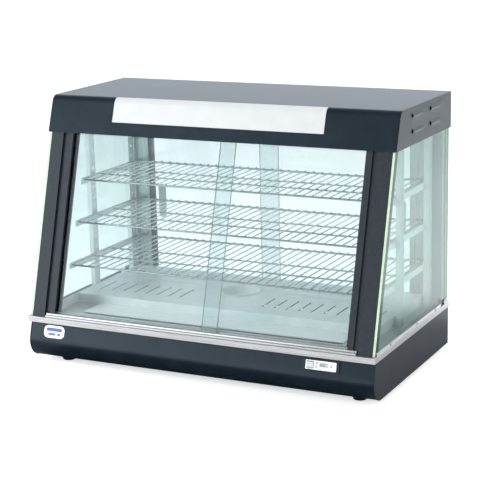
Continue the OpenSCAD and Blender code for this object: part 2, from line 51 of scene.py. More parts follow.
ahead = np.array([-math.sin(yaw)*math.cos(pitch), math.cos(yaw)*math.cos(pitch), -math.sin(pitch)])
sideways = np.array([math.cos(yaw), math.sin(yaw), 0.0])
upward = np.cross(sideways, ahead)
rightward = math.cos(roll)*sideways + math.sin(roll)*upward
overhead = -math.sin(roll)*sideways + math.cos(roll)*upward
camera = bpy.data.objects.new("camera", bpy.data.cameras.new("camera"))
camera.data.sensor_width, camera.data.lens = 36.0, 112.57
camera.data.clip_start, camera.data.clip_end = 0.05, 60.0
pose = np.eye(4)
pose[:3, :3] = np.stack([rightward, overhead, -ahead], 1)
pose[:3, 3] = camera_place
camera.matrix_world = Matrix(pose.tolist())
bpy.context.scene.collection.objects.link(camera)
bpy.context.scene.camera = camera
bpy.context.scene.view_settings.view_transform = "Standard"


# ---------------------------------------------------------------- studio
# A white studio: the camera sees plain white, and everything else sees a pale
# surround that is brighter behind the case. Three soft lights stand above, at
# the right for the side glass and at the left for the front.
def linear(code):
    """The linear colour of an sRGB hex code."""
    parts = [int(code[i:i + 2], 16)/255 for i in (1, 3, 5)]
    return [c/12.92 if c <= 0.04045 else ((c + 0.055)/1.055)**2.4 for c in parts] + [1.0]


def add(tree, kind, **given):
    """Adds one shader node. A setting goes to the node's property of that name, or
    else to the socket of that name or number, as a value or a link."""
    made = tree.nodes.new("ShaderNode" + kind)
    for key, value in given.items():
        if not key.startswith("_") and hasattr(made, key):
            setattr(made, key, value)
            continue
        name = key.strip("_")
        socket = made.inputs[int(name) if name.isdigit() else name.replace("_", " ")]
        if isinstance(value, bpy.types.NodeSocket):
            tree.links.new(value, socket)
        else:
            socket.default_value = value
    return made


world = bpy.data.worlds.new("studio")
world.use_nodes = True
bpy.context.scene.world = world
sky = world.node_tree
sky.nodes.clear()
# the surround is bright behind the case, dim before it and overhead, but for a
# low bright wall at the left of the front
toward = add(sky, "SeparateXYZ", Vector=add(sky, "TexCoord").outputs["Generated"])
back_and_up = add(sky, "Math", operation="MULTIPLY_ADD", _0=toward.outputs["Z"], _1=0.4,
                  _2=toward.outputs["Y"]).outputs[0]
shade = add(sky, "MapRange", Value=back_and_up, From_Min=-1.0, From_Max=1.05,
            To_Min=0.16, To_Max=1.5).outputs[0]
overhead_dim = add(sky, "MapRange", Value=toward.outputs["Z"], From_Min=0.45, From_Max=0.85,
                   To_Min=1.0, To_Max=0.3).outputs[0]
shade = add(sky, "Math", operation="MULTIPLY", _0=shade, _1=overhead_dim).outputs[0]
wall = add(sky, "MapRange", Value=toward.outputs["X"], From_Min=-0.3, From_Max=-0.6,
           To_Min=0.0, To_Max=4.4).outputs[0]
low_down = add(sky, "MapRange", Value=toward.outputs["Z"], From_Min=0.1, From_Max=0.42,
               To_Min=1.0, To_Max=0.15).outputs[0]
before = add(sky, "MapRange", Value=toward.outputs["Y"], From_Min=-0.5, From_Max=-0.2,
             To_Min=1.0, To_Max=0.0).outputs[0]
wall = add(sky, "Math", operation="MULTIPLY", _0=wall, _1=low_down).outputs[0]
glow = add(sky, "Math", operation="MULTIPLY_ADD", _0=wall, _1=before, _2=shade).outputs[0]
seen = add(sky, "Background", Color=linear("#FFFFFF"), Strength=1.0)
felt = add(sky, "Background", Color=linear("#E7F1F8"), Strength=glow)
both = add(sky, "MixShader", _0=add(sky, "LightPath").outputs["Is Camera Ray"],
           _1=felt.outputs[0], _2=seen.outputs[0])
add(sky, "OutputWorld", Surface=both.outputs[0])


def softbox(name, place, aim, size, watts):
    """A square area light at a place, turned towards a point."""
    data = bpy.data.lights.new(name, "AREA")
    data.size, data.energy = size, watts
    lamp = bpy.data.objects.new(name, data)
    facing = np.array(aim, float) - place
    facing /= np.linalg.norm(facing)
    side = np.cross(facing, (0.0, 0.0, 1.0)) + (1e-6, 0, 0)
    side /= np.linalg.norm(side)
    aimed = np.eye(4)
    aimed[:3, :3] = np.stack([side, np.cross(side, facing), -facing], 1)
    aimed[:3, 3] = place
    lamp.matrix_world = Matrix(aimed.tolist())
    # a square light mirrored in the front glass would hide the shelves
    lamp.visible_glossy = False
    bpy.context.scene.collection.objects.link(lamp)


softbox("light_above", (0.2, 0.1, 2.6), (0.0, 0.0, 0.5), 2.2, 38.0)
softbox("light_right", (2.4, 1.2, 1.1), (0.4, 0.0, 0.4), 1.6, 20.0)
softbox("light_left", (-1.7, -2.7, 1.5), (-0.1, -0.1, 0.2), 1.3, 70.0)

reach = 14
floor = bpy.data.objects.new("floor", bpy.data.meshes.new("floor"))
floor.data.from_pydata([(-reach, -reach, 0), (reach, -reach, 0), (reach, reach, 0), (-reach, reach, 0)],
                       [], [(0, 1, 2, 3)])
bpy.context.scene.collection.objects.link(floor)
paper = bpy.data.materials.new("white_paper_sweep")
paper.use_nodes = True
sheet = paper.node_tree
sheet.nodes.clear()
# the paper is white, but mirrors dark within 0.15 m of the case, as with black
# flags laid round it, and white beyond 0.45 m; the flags are thinner at the ends
white = add(sheet, "BsdfDiffuse", Color=linear("#FAFAFA"))
fill = add(sheet, "Emission", Color=linear("#FFFFFF"), Strength=0.6)
lit = add(sheet, "AddShader", _0=white.outputs[0], _1=fill.outputs[0])
flagged = add(sheet, "BsdfDiffuse", Color=linear("#2A2D30"))
spot = add(sheet, "SeparateXYZ", Vector=add(sheet, "TexCoord").outputs["Object"])
beside = [add(sheet, "Math", operation="SUBTRACT", _1=half,
              _0=add(sheet, "Math", operation="ABSOLUTE", _0=spot.outputs[axis]).outputs[0]).outputs[0]
          for axis, half in (("X", 0.45), ("Y", 0.25))]
away = add(sheet, "Math", operation="MAXIMUM", _0=beside[0], _1=beside[1]).outputs[0]
dark = add(sheet, "MapRange", interpolation_type="SMOOTHSTEP", Value=away, From_Min=0.15,
           From_Max=0.45, To_Min=1.0, To_Max=0.0).outputs[0]
thinner = add(sheet, "MapRange", Value=beside[0], From_Min=-0.05, From_Max=0.02,
              To_Min=1.0, To_Max=0.72).outputs[0]
dark = add(sheet, "Math", operation="MULTIPLY", _0=dark, _1=thinner).outputs[0]
dark = add(sheet, "Math", operation="MULTIPLY", _0=dark,
           _1=add(sheet, "LightPath").outputs["Is Glossy Ray"]).outputs[0]
add(sheet, "OutputMaterial", Surface=add(sheet, "MixShader", _0=dark, _1=lit.outputs[0],
                                         _2=flagged.outputs[0]).outputs[0])
floor.data.materials.append(paper)


# ---------------------------------------------------------------- feet
# Four turned rubber feet, each held by a screw through the base's floor. Each
# foot has a rounded tread, a groove half way up and a flat top.
def material(name):
    """A new empty node material with its output's surface left open."""
    made = bpy.data.materials.new(name)
    made.use_nodes = True
    made.node_tree.nodes.clear()
    return made, made.node_tree


def spread(tree, stretch=(1.0, 1.0, 1.0)):
    """Object coordinates in metres, stretched along each axis."""
    place = add(tree, "TexCoord").outputs["Object"]
    return add(tree, "Mapping", vector_type="POINT", Vector=place, Scale=stretch).outputs[0]


def specks(tree, size_mm, where, detail=3.0):
    """A noise value from 0 to 1 whose grains are about size_mm across."""
    return add(tree, "TexNoise", Vector=where, Scale=1000.0/size_mm, Detail=detail).outputs["Fac"]


def between(tree, value, low, high):
    """A value from 0.3..0.7 spread over low..high."""
    return add(tree, "MapRange", Value=value, From_Min=0.3, From_Max=0.7, To_Min=low,
               To_Max=high).outputs[0]


def blended(tree, value, dark, light):
    """A colour between two hex codes."""
    made = add(tree, "Mix", data_type="RGBA", _0=between(tree, value, 0.0, 1.0),
               _6=linear(dark), _7=linear(light))
    return made.outputs[2]


def raised(tree, value, depth_mm):
    """A bump normal of that depth."""
    return add(tree, "Bump", Strength=1.0, Distance=depth_mm/1000.0, Height=value).outputs[0]


def surface(tree, **given):
    """A Principled shader on the material's output."""
    add(tree, "OutputMaterial", Surface=add(tree, "BsdfPrincipled", **given).outputs[0])


def body_piece(name, mesh, body, *materials):
    """An object at the origin that rides on a CAD body."""
    made = bpy.data.objects.new(name, mesh)
    bpy.context.scene.collection.objects.link(made)
    for each in materials:
        mesh.materials.append(each)
    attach(made, body)
    return made


def finished(node, name, body, slot, *materials, edge=0.0004, steps=2, smooth=35.0):
    """A node's solid with its doubles merged, its flat faces joined, its sharp edges
    rounded by edge metres, and its curved faces shaded smooth."""
    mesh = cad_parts[node].data.copy()
    mesh.materials.clear()
    work = bmesh.new()
    work.from_mesh(mesh)
    bmesh.ops.remove_doubles(work, verts=work.verts, dist=2e-6)
    bmesh.ops.dissolve_limit(work, angle_limit=math.radians(0.3), verts=work.verts,
                             edges=work.edges, delimit=set())
    bmesh.ops.recalc_face_normals(work, faces=work.faces)
    work.to_mesh(mesh)
    work.free()
    mesh.name = name
    mesh.shade_smooth()
    mesh.set_sharp_from_angle(angle=math.radians(smooth))
    made = body_piece(name, mesh, body, *materials)
    if edge:
        round_off = made.modifiers.new("rounded_edges", "BEVEL")
        round_off.width, round_off.segments = edge, steps
        round_off.limit_method, round_off.angle_limit = "ANGLE", math.radians(smooth)
        round_off.harden_normals = True
        round_off.use_clamp_overlap = True
    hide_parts(node)
    return made


def grid_mesh(points, round_u=False, round_v=False):
    """The points and quads of an array of points over two parameters."""
    rows, cols = points.shape[:2]
    u = np.arange(rows if round_u else rows - 1)[:, None]
    v = np.arange(cols if round_v else cols - 1)[None, :]
    a = u*cols + v
    b = ((u + 1) % rows)*cols + v
    c = ((u + 1) % rows)*cols + (v + 1) % cols
    d = u*cols + (v + 1) % cols
    faces = np.stack([a, b, c, d], -1).reshape(-1, 4)
    return points.reshape(-1, 3), faces.tolist()


def joined(name, parts, smooth=True):
    """One mesh of several lists of points and faces, doubles merged, facing outwards."""
    points, faces, start = [], [], 0
    for corner, face in parts:
        points.append(corner)
        faces += [[i + start for i in f] for f in face]
        start += len(corner)
    mesh = bpy.data.meshes.new(name)
    mesh.from_pydata(np.concatenate(points).tolist(), [], faces)
    work = bmesh.new()
    work.from_mesh(mesh)
    bmesh.ops.remove_doubles(work, verts=work.verts, dist=1e-6)
    bmesh.ops.dissolve_degenerate(work, edges=work.edges, dist=1e-7)
    bmesh.ops.recalc_face_normals(work, faces=work.faces)
    work.to_mesh(mesh)
    work.free()
    if smooth:
        mesh.shade_smooth()
        mesh.set_sharp_from_angle(angle=math.radians(40))
    return mesh


def turned(profile, centre, sides=48):
    """A profile of radius and height turned about an upright axis: each height's ring
    has its radius times the cosine and sine of the angle."""
    profile = np.array(profile, float)
    angle = np.linspace(0, 2*math.pi, sides, endpoint=False)
    ring = np.stack([profile[:, :1]*np.cos(angle), profile[:, :1]*np.sin(angle),
                     np.repeat(profile[:, 1:], sides, 1)], -1)
    return grid_mesh(ring + np.array(centre, float), round_v=True)


rubber, tree = material("black_moulded_rubber")
# matt rubber with a fine dusty bloom in 2 mm patches and a 0.6 mm grain
bloom = specks(tree, 2.0, spread(tree))
surface(tree, Base_Color=blended(tree, bloom, "#101112", "#1E1F20"), Specular_IOR_Level=0.35,
        Roughness=between(tree, bloom, 0.62, 0.78),
        Normal=raised(tree, specks(tree, 0.6, spread(tree)), 0.05))

foot_lo, foot_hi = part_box("foot_pads")
foot_r, foot_h = 0.018, foot_hi.z
groove = foot_r - 0.0008
# radius and height, from the tread's middle outwards and up to the top's middle
foot_profile = [(0, 0), (0.0125, 0), (0.0148, 0.0005), (0.0158, 0.002), (0.0163, 0.0045),
                (foot_r - 0.0006, 0.0052), (foot_r, 0.0062), (foot_r, 0.0105), (groove, 0.0112),
                (groove, 0.0118), (foot_r, 0.0125), (foot_r, foot_h - 0.001),
                (foot_r - 0.001, foot_h), (0, foot_h)]
foot_places = [(x, y, 0) for x in (foot_lo.x + foot_r, foot_hi.x - foot_r)
               for y in (foot_lo.y + foot_r, foot_hi.y - foot_r)]
feet = body_piece("rubber_feet",
                  joined("rubber_feet", [turned(foot_profile, p) for p in foot_places]),
                  "case", rubber)
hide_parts("foot_pads")

screw_steel, tree = material("zinc_plated_steel_screw")
# bright zinc plate with a cloudy 3 mm tone
cloud = specks(tree, 3.0, spread(tree))
surface(tree, Base_Color=blended(tree, cloud, "#B9BCBE", "#E2E4E5"), Metallic=1.0,
        Roughness=between(tree, cloud, 0.2, 0.32))
finished("foot_screws", "foot_screws_and_nuts", "case", "bright_steel", screw_steel, edge=0.0003)

# ---------------------------------------------------------------- painted base
# One folded steel sheet makes the rolled lower edge and the sloped front, a
# slotted panel makes the floor, and flat plates close the ends and the back.
# All of it is powder coated satin black.
paint, tree = material("satin_black_powder_coat")
# satin polyester powder: a slate black with a cool sheen and orange peel 1.4 mm
# across
peel = specks(tree, 1.4, spread(tree), 2.0)
tone = specks(tree, 60.0, spread(tree), 2.0)
surface(tree, Base_Color=blended(tree, tone, "#0B141C", "#101C25"), Specular_IOR_Level=0.5,
        Specular_Tint=linear("#DCE8F2"),
        Roughness=between(tree, peel, 0.27, 0.34), Normal=raised(tree, peel, 0.02))

finished("base_front", "base_rolled_front", "case", "black_powder_coat", paint, edge=0.0005)
finished("base_floor", "base_floor_panel", "case", "black_powder_coat", paint, edge=0.0003)
finished("base_end_left", "base_end_plate_left", "case", "black_powder_coat", paint, edge=0.0008)
finished("base_end_right", "base_end_plate_right", "case", "black_powder_coat", paint, edge=0.0008)
finished("base_back_panel", "base_louvred_back", "case", "black_powder_coat", paint, edge=0.0003)
finished("back_screws", "back_panel_screws", "case", "bright_steel", screw_steel, edge=0.0003)

abs_black, tree = material("black_moulded_abs")
# moulded ABS with a spark-eroded grain of about 0.7 mm
grain = specks(tree, 0.7, spread(tree), 2.0)
surface(tree, Base_Color=blended(tree, specks(tree, 25.0, spread(tree)), "#15181A", "#1C1F22"),
        Roughness=between(tree, grain, 0.38, 0.48), Normal=raised(tree, grain, 0.03))
finished("cable_gland", "cable_gland_and_nut", "case", "black_plastic", abs_black, edge=0.0004)

# ---------------------------------------------------------------- electrics
# A phenolic terminal strip on the floor and a small control board behind the
# panel, both hidden inside the base.
phenolic, tree = material("cream_phenolic")
# pressed phenolic resin, mottled where its filler shows
mottle = specks(tree, 1.5, spread(tree))
surface(tree, Base_Color=blended(tree, mottle, "#CFC7AE", "#E3DDCB"), Roughness=0.5)
finished("terminal_block", "terminal_strip", "case", "phenolic", phenolic, edge=0.0005)

board, tree = material("green_solder_mask")
# glossy lacquer, paler where a copper track runs under it
track = add(tree, "TexWave", wave_type="BANDS", Vector=spread(tree), Scale=180.0, Distortion=6.0)
surface(tree, Base_Color=blended(tree, track.outputs["Fac"], "#1D5C3A", "#3B8A5C"), Roughness=0.3)
finished("control_board", "control_circuit_board", "case", "circuit_board", board, edge=0.0002)

# ---------------------------------------------------------------- control panel
# A snap-in black bezel holds a white printed face with a rocker switch, two
# keys, a small digital display and a red pilot lens.

# the base's front and the panel on it lean back by this angle; the panel's own
# directions are along X, up its face and out of it
lean = math.radians(16.3)
along = np.array([1.0, 0.0, 0.0])
face_up = np.array([0.0, math.sin(lean), math.cos(lean)])
face_out = np.array([0.0, -math.cos(lean), math.sin(lean)])
finished("control_bezel", "control_panel_bezel", "case", "black_plastic", abs_black, edge=0.0006)

white_abs, tree = material("white_gloss_abs")
# smooth moulded white, a little warmer in 20 mm clouds
surface(tree, Base_Color=blended(tree, specks(tree, 20.0, spread(tree)), "#E9ECEE", "#F6F7F7"),
        Roughness=between(tree, specks(tree, 1.0, spread(tree)), 0.25, 0.33))
finished("control_face", "control_panel_face", "case", "white_plastic", white_abs, edge=0.0002)

key_grey, tree = material("grey_moulded_key")
# the same plastic in light grey with a satin mould finish
surface(tree, Base_Color=blended(tree, specks(tree, 1.2, spread(tree)), "#B4BABF", "#C9CED2"),
        Roughness=0.4)
finished("up_button", "up_key_cap", "up_key", "white_plastic", key_grey, edge=0.0004)
finished("down_button", "down_key_cap", "down_key", "white_plastic", key_grey, edge=0.0004)
finished("power_switch", "rocker_switch_cap", "rocker", "white_plastic", key_grey, edge=0.0006)

lens, tree = material("smoked_display_lens")
# glossy acrylic over a pale grey liquid crystal
surface(tree, Base_Color=blended(tree, specks(tree, 8.0, spread(tree)), "#AAB3B7", "#C6CDCF"),
        Roughness=0.12, Coat_Weight=0.5)
finished("display_window", "display_lens", "case", "dark_lens", lens, edge=0.0002)

red, tree = material("red_pilot_lens")
# clear red acrylic, faintly lit from behind
surface(tree, Base_Color=blended(tree, specks(tree, 0.8, spread(tree)), "#C21A20", "#E0383A"),
        Emission_Color=linear("#E02020"), Emission_Strength=0.35, Roughness=0.2)
finished("indicator_lens", "red_pilot_lens_cap", "case", "red_lens", red, edge=0.0002)

# printed marks: two seven-segment digits and a degree dash on the display, and
# on the face four ticks below it and a line below the rocker; all are thin bars
ink, tree = material("dark_screen_ink")
# screen ink, a little uneven
surface(tree, Base_Color=blended(tree, specks(tree, 0.5, spread(tree)), "#14181B", "#2B3136"),
        Roughness=0.5)


def bar(centre, wide, tall, thick):
    """A box on the panel whose back face's middle is at centre."""
    corner = np.array([(s, t, h) for h in (0, 1)
                       for s, t in ((-.5, -.5), (.5, -.5), (.5, .5), (-.5, .5))])
    points = (np.array(centre, float) + (corner[:, :1]*wide)*along
              + (corner[:, 1:2]*tall)*face_up + (corner[:, 2:]*thick)*face_out)
    return points, [(3, 2, 1, 0), (4, 5, 6, 7), (0, 1, 5, 4), (1, 2, 6, 5), (2, 3, 7, 6), (3, 0, 4, 7)]


def middle(node):
    """The middle of a node's box."""
    lo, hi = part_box(node)
    return (np.array(lo) + np.array(hi))/2


ink_on_lens, ink_on_face = 0.0002, 0.0001
lens_front = middle("display_window") + 0.0004*face_out
digit_h, digit_w, stroke = 0.0062, 0.0036, 0.0009
# the segments' middles in digit widths and heights, and the segments of a 6 and
# a 0; a, d and g lie flat
segment_at = {"a": (0, .5), "b": (.5, .25), "c": (.5, -.25), "d": (0, -.5),
              "e": (-.5, -.25), "f": (-.5, .25), "g": (0, 0)}
marks = []
for segments, shift in (("acdefg", -0.0052), ("abcdef", 0.0008)):
    for key in segments:
        across, rise = segment_at[key]
        flat = key in "adg"
        marks.append(bar(lens_front + (shift + across*digit_w)*along + rise*digit_h*face_up,
                         digit_w*0.8 if flat else stroke, stroke if flat else digit_h*0.42,
                         ink_on_lens))
marks.append(bar(lens_front + 0.0062*along + 0.0022*face_up, 0.0022, stroke, ink_on_lens))
face_front = middle("control_face") + 0.0005*face_out
tick_pitch = 0.0042
marks += [bar(face_front + (0.0005 + tick_pitch*i)*along - 0.0062*face_up, 0.0024, 0.0008, ink_on_face)
          for i in range(4)]
marks += [bar(face_front - 0.026*along - 0.0098*face_up, 0.008, 0.0007, ink_on_face)]
body_piece("printed_panel_marks", joined("printed_panel_marks", marks, False), "case", ink)

# ---------------------------------------------------------------- badge
# A domed white label with a plain pattern of three blue bars, stuck on the
# left of the base's front.
label, tree = material("white_domed_label")
# white film under a clear resin dome
surface(tree, Base_Color=blended(tree, specks(tree, 12.0, spread(tree)), "#F1F4F8", "#FFFFFF"),
        Roughness=0.22, Coat_Weight=0.6)
finished("badge_plate", "badge_label", "case", "white_plastic", label, edge=0.0003)
blue, tree = material("blue_label_ink")
# blue screen ink, slightly uneven
surface(tree, Base_Color=blended(tree, specks(tree, 1.0, spread(tree)), "#3C55A8", "#5169B8"),
        Roughness=0.3)
badge_front = middle("badge_plate") + 0.00036*face_out
bar_thick = 0.0002


def lozenge(centre, wide, tall, thick):
    """A flat bar with round ends: half circles of the height joined by straight sides."""
    turn = np.linspace(-math.pi/2, math.pi/2, 13)
    straight, end_r = (wide - tall)/2, tall/2
    right = np.stack([straight + end_r*np.cos(turn), end_r*np.sin(turn)], 1)
    outline = np.concatenate([right, -right])
    low = np.array(centre) + outline[:, :1]*along + outline[:, 1:]*face_up
    points = np.stack([low, low + thick*face_out])
    n = len(outline)
    corners, faces = grid_mesh(points, round_v=True)
    return corners, faces + [list(range(n)), list(range(2*n - 1, n - 1, -1))]


# one long bar above, and a shorter and a short one side by side below
bars = [lozenge(badge_front + 0.0052*face_up, 0.044, 0.0082, bar_thick),
        lozenge(badge_front - 0.0060*face_up - 0.006*along, 0.021, 0.0056, bar_thick),
        lozenge(badge_front - 0.0060*face_up + 0.013*along, 0.0095, 0.0056, bar_thick)]
body_piece("badge_blue_bars", joined("badge_blue_bars", bars, False), "case", blue)

# ---------------------------------------------------------------- frame, rails and beads
# A brushed stainless pan closes the base; extruded double rails carry the
# panes, and thin beads with small screws hold the feet of the side glasses.
brushed, tree = material("brushed_stainless_steel")
# brushed along X: lines about 0.15 mm apart, drawn 1.2 mm apart so that they show
lines = specks(tree, 1.2, spread(tree, (0.012, 1.0, 1.0)), 4.0)
surface(tree, Base_Color=blended(tree, lines, "#B0AEAD", "#DAD8D7"), Metallic=0.85,
        Roughness=between(tree, lines, 0.30, 0.42), Normal=raised(tree, lines, 0.02))
finished("top_frame", "stainless_pan_and_edge", "case", "brushed_stainless", brushed,
         edge=0.0015, steps=3)
finished("front_rail", "front_pane_rail", "case", "brushed_stainless", brushed, edge=0.0004)
finished("rear_rail", "back_pane_rail", "case", "brushed_stainless", brushed, edge=0.0004)
brushed_y, tree = material("brushed_stainless_strip")
# the same steel brushed along Y
strip = specks(tree, 1.2, spread(tree, (1.0, 0.012, 1.0)), 4.0)
surface(tree, Base_Color=blended(tree, strip, "#C4C6C6", "#E4E5E5"), Metallic=0.6,
        Roughness=between(tree, strip, 0.24, 0.36), Normal=raised(tree, strip, 0.02))
finished("side_beads", "side_glass_beads", "case", "brushed_stainless", brushed_y, edge=0.0003)
finished("bead_screws", "bead_screw_heads", "case", "bright_steel", screw_steel, edge=0.0003)
finished("glass_clamps", "side_glass_clamps", "case", "bright_steel", screw_steel, edge=0.0005)

# ---------------------------------------------------------------- heater
# A hairpin of sheathed element on three steel cross bars under the deck, with
# the thermostat's copper bulb clipped above it.
sheath, tree = material("heat_tinted_steel_sheath")
# steel browned by heat in 18 mm patches
tint = specks(tree, 18.0, spread(tree))
surface(tree, Base_Color=blended(tree, tint, "#5B5048", "#857F78"), Metallic=0.9,
        Roughness=between(tree, tint, 0.35, 0.55))
finished("heating_element", "heater_hairpin", "case", "heater_sheath", sheath, edge=0)
pressed, tree = material("pressed_stainless_painted_pale")
# bright-rolled sheet, given a near-white colour and little metal as a painted
# reflection of a bright room in place of a mirror: 30 mm clouds and a 1.5 mm rolling grain
wash = specks(tree, 30.0, spread(tree), 4.0)
rolled = specks(tree, 1.5, spread(tree, (0.05, 1.0, 1.0)), 3.0)
surface(tree, Base_Color=blended(tree, wash, "#E6EBEB", "#F5F7F7"), Metallic=0.15,
        Roughness=between(tree, wash, 0.36, 0.46), Normal=raised(tree, rolled, 0.015))
finished("heater_brackets", "heater_cross_bars", "case", "pressed_stainless", pressed, edge=0.0003)
copper, tree = material("dull_copper")
# drawn copper, darkened unevenly by heat
surface(tree, Base_Color=blended(tree, specks(tree, 6.0, spread(tree)), "#9A5B3C", "#C58A62"),
        Metallic=1.0, Roughness=0.38)
finished("thermostat_bulb", "thermostat_bulb_and_clip", "case", "copper", copper, edge=0.0003)

# ---------------------------------------------------------------- deck
# A slotted stainless deck with a front riser and a raised seam, carried by
# side angles; a ledge painted near-white as a reflection stands in front, and a
# pressed dish for water hangs by its rim in a round hole.
finished("deck_plate", "slotted_deck", "case", "pressed_stainless", pressed, edge=0.0006)
finished("deck_ledges", "deck_side_angles", "case", "pressed_stainless", pressed, edge=0.0004)
polished, tree = material("ledge_painted_white_reflection")
# polished sheet that would mirror a bright room; it is shaded as a pale satin
# surface whose near-white colour is a painted reflection, because a true mirror
# would turn grey in this studio's dim front
lines = specks(tree, 1.0, spread(tree, (0.01, 1.0, 1.0)))
surface(tree, Base_Color=blended(tree, lines, "#F7F8F8", "#FEFEFE"), Metallic=0.0,
        Roughness=between(tree, lines, 0.25, 0.35))
finished("front_ledge", "front_ledge_painted_reflection", "case", "brushed_stainless", polished, edge=0.0006)

dish_lo, dish_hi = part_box("water_dish")
dish_c = ((dish_lo.x + dish_hi.x)/2, (dish_lo.y + dish_hi.y)/2)
rim, top, low = (dish_hi.x - dish_lo.x)/2, dish_hi.z, dish_lo.z
# radius and height: inside, from under the rim's edge over the rolled rim, down
# the wall and over two rings pressed in the bottom; then back up the outside
deep = np.array([(rim - 0.0005, top - 0.0010), (rim, top - 0.0006), (rim - 0.0004, top - 0.0001),
                 (rim - 0.0012, top), (rim - 0.0058, top), (rim - 0.0070, top - 0.0008),
                 (rim - 0.0074, top - 0.0024), (rim - 0.0090, top - 0.0060), (0.0395, low + 0.0040),
                 (0.0380, low + 0.0022), (0.0350, low + 0.0011), (0.0330, low + 0.0010),
                 (0.0300, low + 0.0016), (0.0270, low + 0.0010), (0.0200, low + 0.0010),
                 (0.0170, low + 0.0016), (0.0140, low + 0.0010), (0, low + 0.0010)])
under = np.array([(0, low), (0.0345, low), (0.0375, low + 0.0006), (0.0392, low + 0.0024),
                  (0.0398, low + 0.0038), (rim - 0.0076, top - 0.0070), (rim - 0.0064, top - 0.0020),
                  (rim - 0.0054, top - 0.0010), (rim - 0.0005, top - 0.0010)])
dish_profile = np.concatenate([deep, under])
dish = body_piece("pressed_water_dish",
                  joined("pressed_water_dish", [turned(dish_profile, (*dish_c, 0), 96)]),
                  "dish", pressed)
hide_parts("water_dish")

# ---------------------------------------------------------------- posts
# Black anodised extrusions at the front, with a hollow flat bar outside and lips
# that take the panes; grey ones at the back, plain double channels, joined to
# the side glasses by stainless angles.
anodised, tree = material("black_anodised_aluminium")
# drawn along the length: lines 0.4 mm apart, drawn 2 mm apart
drawn = specks(tree, 2.0, spread(tree, (1.0, 1.0, 0.02)), 3.0)
surface(tree, Base_Color=blended(tree, drawn, "#1C2126", "#282E34"), Metallic=0.2,
        Specular_IOR_Level=0.5, Roughness=between(tree, drawn, 0.32, 0.42),
        Normal=raised(tree, drawn, 0.02))
for side in ("left", "right"):
    finished("front_post_" + side, "front_post_extrusion_" + side, "case", "black_anodised", anodised,
             edge=0.0006)
pale_anodised, tree = material("grey_anodised_aluminium")
# the same lines on a pale grey-green film
drawn = specks(tree, 2.0, spread(tree, (1.0, 1.0, 0.02)), 3.0)
surface(tree, Base_Color=blended(tree, drawn, "#9AA7A5", "#A9B5B3"), Metallic=0.7,
        Roughness=between(tree, drawn, 0.24, 0.34), Normal=raised(tree, drawn, 0.02))
for side in ("left", "right"):
    finished("rear_post_" + side, "back_post_extrusion_" + side, "case", "grey_anodised", pale_anodised,
             edge=0.0004)
brushed_z, tree = material("brushed_stainless_angle")
# the frame's steel brushed upwards
strip = specks(tree, 1.2, spread(tree, (1.0, 1.0, 0.012)), 4.0)
surface(tree, Base_Color=blended(tree, strip, "#CACDCD", "#D8DADA"), Metallic=0.8,
        Roughness=between(tree, strip, 0.28, 0.38), Normal=raised(tree, strip, 0.01))
finished("rear_flanges", "back_corner_angles", "case", "brushed_stainless", brushed_z, edge=0.0002)

# ---------------------------------------------------------------- uprights and arms
# Folded stainless channels with a row of round holes stand against the side
# glasses, and angle arms hook into them.
for side in ("left", "right"):
    finished("uprights_" + side, "punched_uprights_" + side, "case", "pressed_stainless", pressed,
             edge=0.0003)
finished("shelf_arms", "hooked_shelf_arms", "case", "pressed_stainless", pressed, edge=0.0003)

# ---------------------------------------------------------------- wire shelves
# Each shelf is a bent rim of 5 mm wire with two cross wires, and 3 mm wires
# welded on top from front to back; all of it is chromium plated.
chrome, tree = material("chromium_plated_wire")
# bright plate, slightly clouded in 6 mm patches
haze = specks(tree, 6.0, spread(tree))
surface(tree, Base_Color=blended(tree, haze, "#B4BCBB", "#D5DBDA"), Metallic=1.0,
        Roughness=between(tree, haze, 0.16, 0.26))


def tube(path, radius, sides, closed=False):
    """A round wire along a path in a level plane or straight: at each point a ring of
    that radius stands square to the path's direction."""
    path = np.array(path, float)
    ahead = np.roll(path, -1, 0) - np.roll(path, 1, 0) if closed else np.gradient(path, axis=0)
    ahead /= np.linalg.norm(ahead, axis=1)[:, None]
    side = np.cross(ahead, (0.0, 0.0, 1.0))
    side /= np.linalg.norm(side, axis=1)[:, None]
    up = np.cross(side, ahead)
    angle = np.linspace(0, 2*math.pi, sides, endpoint=False)
    around = np.cos(angle)[None, :, None]*side[:, None] + np.sin(angle)[None, :, None]*up[:, None]
    points, faces = grid_mesh(path[:, None] + radius*around, round_u=closed, round_v=True)
    if not closed:
        count = len(path)*sides
        faces += [list(range(sides)), list(range(count - 1, count - sides - 1, -1))]
    return points, faces


def bent_rim(x1, y0, y1, z, corner, steps=8):
    """A rectangle with quarter-circle corners, as points round it."""
    turn = np.linspace(0, math.pi/2, steps)
    quarters = []
    for cx, cy, start in ((x1 - corner, y1 - corner, 0), (corner - x1, y1 - corner, 1),
                          (corner - x1, y0 + corner, 2), (x1 - corner, y0 + corner, 3)):
        angle = turn + start*math.pi/2
        quarters.append(np.stack([cx + corner*np.cos(angle), cy + corner*np.sin(angle),
                                  np.full(steps, z)], 1))
    return np.concatenate(quarters)


